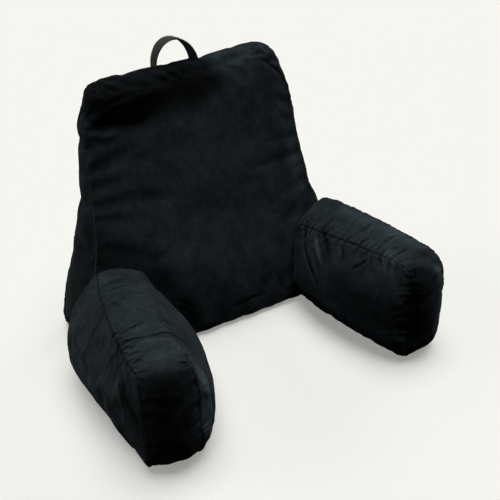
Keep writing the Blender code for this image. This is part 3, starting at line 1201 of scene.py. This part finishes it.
@dataclass(frozen=True)
class Studio:
    """The pale floor, the soft light and the camera."""

    floor_half: float = 9.0
    floor_glow: float = 0.285
    backdrop_glow: float = 0.905
    floor_reflect: float = 0.80
    floor_tint: tuple[float, float, float] = (1.0, 1.0, 0.955)
    ambient: float = 0.008
    lamps: tuple[Lamp, ...] = (
        Lamp("overhead", (0.05, -0.02, 1.0), 2.15, math.radians(50)),
        Lamp("left_fill", (-1.0, 0.70, 0.45), 0.46, math.radians(40)),
        Lamp("right_fill", (1.0, 0.35, 0.50), 0.40, math.radians(40)),
    )
    sensor: float = 36.0

    def floor(self) -> None:
        """Lay the floor, lit evenly and a little by itself, so that its shadows stay soft."""
        bm = bmesh.new()
        bmesh.ops.create_grid(bm, x_segments=2, y_segments=2, size=self.floor_half)
        mesh = bpy.data.meshes.new("floor")
        bm.to_mesh(mesh)
        bm.free()
        item = link(bpy.data.objects.new("floor", mesh))
        item.visible_diffuse = False
        item.visible_glossy = False
        made = bpy.data.materials.new("pale_floor")
        made.use_nodes = True
        shader = made.node_tree.nodes["Principled BSDF"]
        shown = [self.floor_reflect * part for part in self.floor_tint]
        shader.inputs["Base Color"].default_value = (*shown, 1)
        shader.inputs["Roughness"].default_value = 1.0
        shader.inputs["Specular IOR Level"].default_value = 0.0
        shader.inputs["Emission Color"].default_value = (*self.floor_tint, 1)
        shader.inputs["Emission Strength"].default_value = self.floor_glow
        mesh.materials.append(made)

    def backdrop(self) -> None:
        """Hang a pale round backdrop that the lights shine through and that lights nothing."""
        bm = bmesh.new()
        bmesh.ops.create_uvsphere(bm, u_segments=48, v_segments=24, radius=self.floor_half)
        bmesh.ops.reverse_faces(bm, faces=bm.faces)
        mesh = bpy.data.meshes.new("backdrop")
        bm.to_mesh(mesh)
        bm.free()
        mesh.shade_smooth()
        item = link(bpy.data.objects.new("backdrop", mesh))
        item.visible_diffuse = False
        item.visible_glossy = False
        item.visible_shadow = False
        made = bpy.data.materials.new("pale_backdrop")
        made.use_nodes = True
        shader = made.node_tree.nodes["Principled BSDF"]
        shader.inputs["Base Color"].default_value = (0, 0, 0, 1)
        shader.inputs["Specular IOR Level"].default_value = 0.0
        shader.inputs["Emission Color"].default_value = (*self.floor_tint, 1)
        shader.inputs["Emission Strength"].default_value = self.backdrop_glow
        mesh.materials.append(made)

    def lights(self) -> None:
        """Hang a broad soft light overhead and behind, with dim light from all round."""
        world = bpy.data.worlds.new("studio")
        world.use_nodes = True
        sky = world.node_tree.nodes["Background"]
        sky.inputs["Color"].default_value = (1, 1, 1, 1)
        sky.inputs["Strength"].default_value = self.ambient
        bpy.context.scene.world = world
        bpy.context.scene.view_settings.view_transform = "Standard"
        for lamp in self.lamps:
            lamp.hang()

    def camera(self) -> None:
        """Stand the camera where the photograph was taken from."""
        spot, right, up, back = VIEW.stand()
        turn = Matrix([[axis[i] for axis in (right, up, back)] for i in range(3)]).to_4x4()
        lens = bpy.data.cameras.new("camera")
        lens.sensor_width = self.sensor
        lens.lens = VIEW.focal_pixels / VIEW.frame_pixels * self.sensor
        lens.clip_start = 0.05
        item = link(bpy.data.objects.new("camera", lens))
        item.matrix_world = Matrix.Translation(spot) @ turn
        bpy.context.scene.camera = item

    def build(self) -> None:
        """Set up the floor, the lights and the camera."""
        self.floor()
        self.backdrop()
        self.lights()
        self.camera()
        LOG.info("studio: floor, light and camera")


# The pillow

BACK_CREASES: tuple[Crease, ...] = (
    Crease("roll_edge_left", 0.009, -0.0035, ((89, 123), (104, 124), (125, 123), (141, 123))),
    Crease("roll_edge_left_lip", 0.011, 0.003, ((92, 134), (104, 137), (118, 133))),
    Crease("corner_pleat", 0.005, 0.003, ((100.5, 82), (109, 84), (119, 88))),
    Crease("corner_pleat_under", 0.005, -0.0025, ((98, 84), (108, 88.5), (117, 92))),
    Crease("corner_tuck", 0.005, 0.0025, ((93, 97), (98, 95), (100, 92))),
    Crease("corner_tuck_under", 0.004, -0.0025, ((92, 93), (96, 92))),
    Crease("handle_pull_1", 0.005, 0.003, ((153, 71), (163, 75), (172, 81))),
    Crease("handle_pull_1_under", 0.005, -0.003, ((160, 79), (170, 85))),
    Crease("handle_pull_2", 0.0045, 0.0025, ((166, 67), (176, 72), (184, 78))),
    Crease("handle_pull_2_under", 0.005, -0.0025, ((163, 70), (173, 75), (180, 80))),
    Crease("handle_pull_3", 0.006, 0.002, ((186, 63), (196, 66))),
    Crease("right_pleat", 0.004, 0.0025, ((238, 49), (243, 52))),
    Crease("right_corner_pleat", 0.0045, 0.003, ((258, 44), (261, 48), (264, 52))),
    Crease("right_corner_dip", 0.006, -0.003, ((252, 48), (258, 53))),
    Crease("arm_pull_1", 0.006, -0.0025, ((178, 299), (187, 303), (195, 308))),
    Crease("arm_pull_2", 0.006, -0.002, ((181, 307), (190, 312), (197, 320))),
    Crease("lap_1", 0.007, -0.002, ((262, 278), (267, 286))),
    Crease("lap_2", 0.008, -0.0025, ((236, 306), (252, 298), (266, 294))),
    Crease("lap_3", 0.007, -0.002, ((276, 270), (281, 284), (290, 292))),
)
LEFT_CREASES: tuple[Crease, ...] = (
    Crease("rear_1", 0.004, -0.0026, ((99.5, 287), (111, 283), (123, 279))),
    Crease("rear_2", 0.0035, -0.002, ((103, 292), (115, 289), (127, 285))),
    Crease("rear_dent", 0.009, -0.0018, ((113, 302), (119, 307))),
    Crease("middle_1", 0.004, -0.0022, ((136, 309), (147, 312))),
    Crease("middle_ridge", 0.005, 0.0018, ((138, 306), (152, 309), (163, 314), (173, 322))),
    Crease("middle_2", 0.004, -0.002, ((149, 314), (160, 318), (171, 326))),
    Crease("middle_3", 0.004, -0.0028, ((120.5, 334.5), (132, 328), (142, 322.5))),
    Crease("middle_3_lip", 0.004, 0.0018, ((123, 337), (135, 331), (146, 326))),
    Crease("arc", 0.005, -0.0028, (
        (133, 339.5), (147, 337), (160, 333.5), (168, 333), (178, 338), (189, 347),
    )),
    Crease("arc_lip", 0.006, 0.0016, ((140, 343), (156, 339), (168, 338), (180, 345))),
    Crease("tuck_1", 0.0035, -0.003, ((122, 343.5), (132, 340))),
    Crease("tuck_2", 0.0035, -0.0034, ((124.5, 349), (136, 345.5))),
    Crease("tuck_2_lip", 0.003, 0.0015, ((125, 352), (138, 348))),
    Crease("tuck_3", 0.0035, -0.0034, ((127, 355), (140, 351))),
    Crease("tuck_3_lip", 0.003, 0.0015, ((128, 358), (141, 354))),
    Crease("tuck_4", 0.004, -0.0036, ((132, 364.5), (139, 360), (143, 361.5))),
    Crease("corner_ridge", 0.0035, 0.0025, ((129.5, 369), (136, 369), (143, 370))),
    Crease("corner_tuck", 0.0035, -0.0025, ((134, 372.5), (146, 371))),
    Crease("inner_tuft_top", 0.003, 0.003, ((180.5, 358), (188, 357), (191, 361))),
    Crease("inner_tuft_dip", 0.003, -0.0035, ((180, 362.5), (186.5, 362))),
    Crease("inner_tuft_low", 0.003, 0.003, ((191, 362), (188, 366), (183, 368))),
    Crease("inner_fold_1", 0.004, -0.0018, ((167, 304), (172, 308), (178, 313))),
    Crease("inner_fold_2", 0.004, 0.0016, ((154, 323), (165, 324), (175, 326))),
    Crease("inner_fold_3", 0.004, -0.002, ((199, 389), (204, 385), (209, 384))),
    Crease("inner_fold_4", 0.004, -0.002, ((203, 423), (208, 418))),
    Crease("outer_fold_1", 0.006, -0.0018, ((104, 375), (110, 358), (119, 349))),
    Crease("outer_fold_2", 0.005, -0.0016, ((112, 378), (118, 366), (124, 358))),
    Crease("outer_fold_3", 0.009, -0.0009, ((92, 362), (90, 345), (88, 325))),
    Crease("outer_dent", 0.010, -0.0009, ((92, 326), (97, 330))),
    Crease("outer_hollow", 0.024, -0.0034, ((122, 388), (128, 402), (134, 418))),
    Crease("hollow_edge", 0.009, 0.0008, ((113, 386), (117, 379), (126, 374))),
    Crease("low_bulge", 0.016, 0.0018, ((129, 424), (140, 438))),
    Crease("low_fold_1", 0.0035, 0.0022, ((132, 445), (140, 446), (148, 450))),
    Crease("low_fold_2", 0.0035, -0.0022, ((133, 449), (139, 450), (146, 454))),
)
RIGHT_CREASES: tuple[Crease, ...] = (
    Crease("rear_valley", 0.006, -0.006, (
        (307, 222), (304.5, 236), (304.5, 249), (308, 263), (313, 275),
    )),
    Crease("rear_ridge", 0.009, 0.004, ((315, 236), (317, 250), (321, 264))),
    Crease("rear_valley_2", 0.008, -0.004, ((322, 228), (325, 240), (328, 252))),
    Crease("low_valley", 0.005, -0.0022, ((312, 276), (318, 286))),
    Crease("strip_1", 0.004, -0.0024, ((324, 226), (330, 221), (335, 215))),
    Crease("strip_1_lip", 0.004, 0.0015, ((329, 228), (336, 221))),
    Crease("strip_2", 0.004, -0.0022, ((355, 234), (364, 229), (373, 223))),
    Crease("strip_2_lip", 0.004, 0.0018, ((359, 237), (368, 232), (376, 226))),
    Crease("strip_3", 0.0035, -0.0024, ((360, 243), (366, 239), (371, 236))),
    Crease("strip_4", 0.004, 0.0026, ((387, 245), (395, 240), (405, 235))),
    Crease("strip_4_under", 0.004, -0.0022, ((383, 243), (391, 238), (400, 233))),
    Crease("strip_5", 0.0035, -0.0026, ((391, 249), (400, 246))),
    Crease("strip_6", 0.0035, -0.0032, ((398, 253.5), (408, 248.5))),
    Crease("strip_6_lip", 0.0035, 0.002, ((398, 257), (410, 252))),
    Crease("side_1", 0.004, -0.003, ((361, 258.5), (365, 253), (368, 248))),
    Crease("side_2", 0.005, -0.003, ((352, 269), (359, 265), (366, 261))),
    Crease("side_3", 0.005, -0.0026, ((341, 262), (343, 254), (341, 246))),
    Crease("side_3_lip", 0.004, 0.002, ((338, 258), (340, 251))),
    Crease("side_4", 0.004, 0.002, ((374, 270), (376, 261))),
    Crease("side_5", 0.004, -0.0024, ((381, 268), (380, 258))),
    Crease("side_6", 0.004, 0.0022, ((391, 258), (395, 268))),
    Crease("side_7", 0.004, -0.0024, ((386, 270), (388, 260))),
    Crease("side_dent", 0.014, -0.0010, ((350, 296), (366, 300), (378, 306))),
    Crease("pull_1", 0.003, -0.0022, ((391, 311.5), (401, 310), (410, 310))),
    Crease("pull_1_lip", 0.0028, 0.0016, ((393, 316), (410, 315))),
    Crease("pull_2", 0.0035, -0.0022, ((384, 322), (396, 320), (409, 320))),
    Crease("pull_3", 0.0028, 0.002, ((381, 332), (395, 332.5), (409, 333))),
    Crease("pull_3_under", 0.003, -0.0022, ((388, 336), (400, 336), (410, 335.5))),
    Crease("front_fold", 0.005, 0.0022, ((429, 281), (433, 275), (437, 270))),
    Crease("front_fold_2", 0.004, -0.002, ((425, 296), (434, 294))),
    Crease("front_fold_3", 0.005, 0.002, ((421, 341), (428, 336), (435, 331))),
    Crease("front_valley", 0.006, -0.004, ((414, 270), (415, 290), (417, 312), (418, 335))),
)
# Patches of painted shade where shade is below 1, and of painted highlight where it is above 1.
BACK_PAINTED_SHADING: tuple[PaintedShadingPatch, ...] = (
    PaintedShadingPatch("shoulder", 0.066, 0.16, (
        (-0.195, 0.015, 0.530), (-0.115, 0.005, 0.530), (-0.030, 0.020, 0.535), (0.025, 0.020, 0.540),
    )),
    PaintedShadingPatch("shoulder_middle", 0.062, 0.45, ((-0.100, 0.005, 0.515), (0.000, 0.010, 0.520))),
    PaintedShadingPatch("shoulder_top", 0.075, 0.13, ((-0.205, 0.060, 0.545), (-0.060, 0.070, 0.570))),
    PaintedShadingPatch("behind_handle", 0.055, 0.34, ((-0.040, 0.070, 0.570), (0.040, 0.075, 0.575))),
    PaintedShadingPatch("shoulder_low", 0.040, 0.50, ((-0.205, 0.005, 0.490), (-0.130, 0.000, 0.490))),
    PaintedShadingPatch("shoulder_end", 0.045, 0.40, ((190, 84), (212, 76))),
    PaintedShadingPatch("under_roll", 0.022, 0.65, ((100, 128), (140, 126))),
    PaintedShadingPatch("above_arm", 0.05, 0.35, ((100, 262), (130, 262), (160, 276), (190, 318))),
    PaintedShadingPatch("flare", 0.09, 0.35, ((84, 240), (74, 290))),
    PaintedShadingPatch("lap", 0.14, 1.75, ((180, 250), (270, 250))),
    PaintedShadingPatch("middle", 0.13, 1.28, ((180, 160), (250, 150))),
    PaintedShadingPatch("right_edge", 0.03, 1.6, ((279, 90), (293, 150), (303, 195))),
    PaintedShadingPatch("top_right", 0.03, 1.5, ((215, 62), (250, 55))),
    PaintedShadingPatch("valley", 0.026, 0.4, ((306, 205), (296, 250), (294, 285))),
)
# Painted shade and painted highlights on the left arm.
LEFT_PAINTED_SHADING: tuple[PaintedShadingPatch, ...] = (
    PaintedShadingPatch("front_end", 0.060, 0.10, ((165, 392), (172, 436))),
    PaintedShadingPatch("front_edge", 0.030, 0.30, ((-0.330, -0.430, 0.210), (-0.260, -0.440, 0.205))),
    PaintedShadingPatch("front_low", 0.05, 0.22, ((160, 455), (195, 445))),
    PaintedShadingPatch("strip", 0.10, 1.05, ((-0.260, -0.150, 0.230), (-0.285, -0.330, 0.240))),
    PaintedShadingPatch("outer_low", 0.05, 0.35, ((-0.345, -0.420, 0.110), (-0.345, -0.400, 0.160))),
    PaintedShadingPatch("outer_hollow", 0.03, 0.35, ((126, 388), (133, 412))),
    PaintedShadingPatch("outer_rim", 0.026, 1.8, ((72, 325), (76, 350), (90, 385), (112, 422))),
    PaintedShadingPatch("inner_side", 0.05, 3.4, ((206, 385), (208, 430))),
)
# Painted shade and painted highlights on the right arm.
RIGHT_PAINTED_SHADING: tuple[PaintedShadingPatch, ...] = (
    PaintedShadingPatch("inner_low", 0.07, 0.50, ((340, 290), (395, 318))),
    PaintedShadingPatch("inner_rear", 0.03, 0.5, ((325, 232), (328, 256))),
    PaintedShadingPatch("belly_foot", 0.036, 2.0, ((330, 309), (380, 335))),
    PaintedShadingPatch("front_end", 0.04, 0.25, ((416, 280), (418, 330))),
    PaintedShadingPatch("front_edge", 0.030, 0.35, ((0.260, -0.420, 0.225), (0.290, -0.430, 0.215))),
    PaintedShadingPatch("front_corner", 0.02, 0.5, ((414, 258), (424, 254))),
    PaintedShadingPatch("outer_rim", 0.02, 2, ((437, 270), (437, 320))),
    PaintedShadingPatch("strip", 0.08, 1.15, ((0.255, -0.140, 0.230), (0.290, -0.340, 0.240))),
    PaintedShadingPatch("strip_rim", 0.026, 1.5, ((345, 210), (420, 245))),
)
BACK_TUCKS: tuple[Tucks, ...] = (
    Tucks(0, -0.20, 0.26, 30, 0.0011, 0.009),
    Tucks(1, -0.22, 0.22, 22, 0.0010, 0.010),
    Tucks(2, -0.26, 0.26, 26, 0.0012, 0.012),
    Tucks(3, -0.23, 0.23, 24, 0.0012, 0.012),
    Tucks(4, -0.25, 0.25, 22, 0.0010, 0.010),
)
LEFT_TUCKS: tuple[Tucks, ...] = (
    Tucks(0, -0.17, 0.04, 12, 0.0010, 0.008),
    Tucks(0, 0.04, 0.175, 12, 0.0038, 0.017, -0.2, 0.0026),
    Tucks(1, -0.16, 0.16, 18, 0.0018, 0.012, 0.1, 0.0026),
    Tucks(2, -0.10, 0.11, 15, 0.0013, 0.009),
    Tucks(3, -0.10, 0.11, 16, 0.0014, 0.010),
    Tucks(4, -0.17, 0.17, 22, 0.0012, 0.010),
    Tucks(5, -0.17, 0.17, 22, 0.0012, 0.010),
)
RIGHT_TUCKS: tuple[Tucks, ...] = (
    Tucks(0, -0.17, 0.17, 24, 0.0022, 0.012),
    Tucks(1, -0.16, 0.165, 30, 0.0036, 0.016, 0.1, 0.0024),
    Tucks(2, -0.10, 0.11, 15, 0.0013, 0.009),
    Tucks(3, -0.11, 0.11, 20, 0.0026, 0.015),
    Tucks(4, -0.17, 0.17, 22, 0.0012, 0.010),
    Tucks(5, -0.17, 0.17, 22, 0.0012, 0.010),
)


def main() -> None:
    """Build every piece of the pillow and its studio."""
    logging.basicConfig(level=logging.INFO, format="%(name)s: %(message)s")
    velvet = VelvetFinish().material()
    # The strap's velvet is painted lighter than the cushions', as a painted sheen.
    strap = VelvetFinish(
        name="strap_velvet_with_painted_sheen", deep=(0.030, 0.031, 0.030), raised=(0.082, 0.083, 0.080), sheen=0.10
    ).material()
    thread = ThreadFinish().material()
    Studio().build()
    back = BackCushion(
        name="back_cushion", cells=(72, 22, 72), halves=(0.25, 0.05, 0.28), fill=0.75,
        creases=BACK_CREASES, tucks=BACK_TUCKS, patches=BACK_PAINTED_SHADING, seed=2, highlight_lines=(0,),
    ).build(velvet)
    left = ArmCushion(
        name="arm_left", cells=(24, 104, 42), halves=(0.047, 0.187, 0.115), fill=0.7,
        creases=LEFT_CREASES, tucks=LEFT_TUCKS, patches=LEFT_PAINTED_SHADING, seed=4,
        faint_lines=(1,), crease_gain=1.1,
    )
    right = ArmCushion(
        name="arm_right", cells=(24, 104, 42), halves=(0.047, 0.180, 0.118), fill=0.7,
        creases=RIGHT_CREASES, tucks=RIGHT_TUCKS, patches=RIGHT_PAINTED_SHADING, seed=8,
        crease_gain=1.1,
        side=Side.RIGHT, rear_x=0.245, splay=6.7, length=0.360, front_height=0.237,
        rear_tilt=0.022, front_tilt=-0.003, base_pull_back=0.030, rear_height=0.210, rear_round=0.3,
        inner_belly=0.064, inner_lean=0.04, outer_lean=0.74, base_shift=0.006, top_crown=0.009,
        outer_rear_fade=0.30, outer_front_fade=0.50,
    )
    for arm in (left, right):
        arm.lean_on(arm.build(velvet), back)
    CarryHandle().build(strap, thread)


if __name__ == "__main__":
    main()
